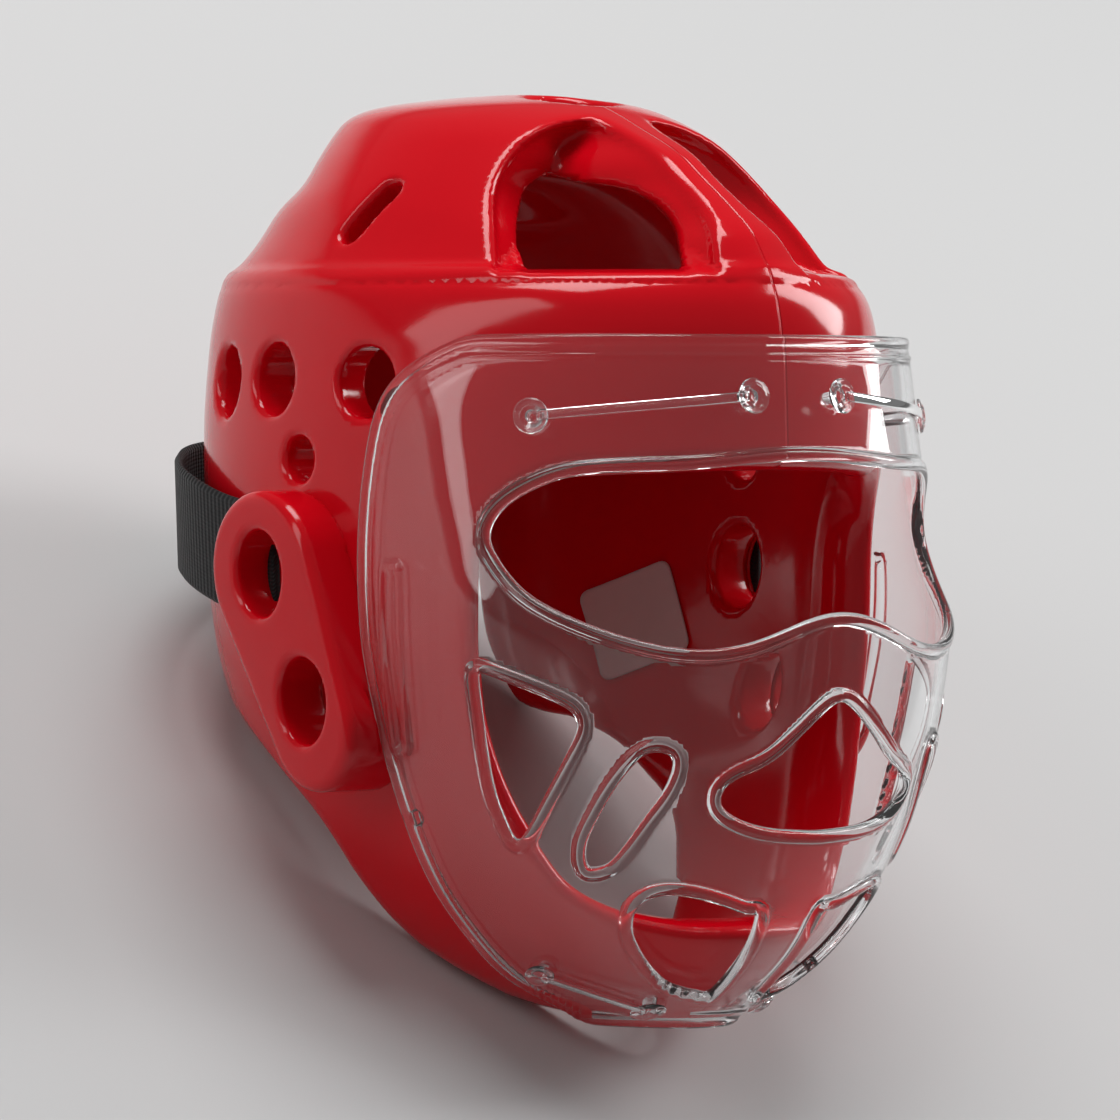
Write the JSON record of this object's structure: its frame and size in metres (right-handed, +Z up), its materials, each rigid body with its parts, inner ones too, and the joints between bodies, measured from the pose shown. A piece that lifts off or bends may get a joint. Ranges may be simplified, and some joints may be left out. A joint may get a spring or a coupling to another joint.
{
  "type": "sparring headgear with face shield",
  "caption": "Glossy red dipped-foam sparring headgear with ear pads, a black nape strap and a clear moulded face shield.",
  "frame": {"origin": "middle of the object's box, on the plane the jaw and nape rims rest on", "axes": "+Z up as it rests, +X to the wearer's left, -Y towards the chin side, the face looking up and forwards"},
  "size_m": [0.2272, 0.3074, 0.2327],
  "materials": {
    "red_foam": "glossy dipped vinyl over foam",
    "clear_shield": "clear moulded polycarbonate",
    "black_webbing": "woven matt",
    "label_film": "satin"
  },
  "bodies": {
    "root": {"foam_shell": "red_foam", "ear_pad_right": "red_foam", "ear_pad_left": "red_foam", "nape_strap": "black_webbing", "face_shield": "clear_shield", "clip_top_left": "clear_shield", "clip_top_right": "clear_shield", "clip_chin_left": "clear_shield", "clip_chin_right": "clear_shield", "inner_label": "label_film"}
  },
  "joints": []
}
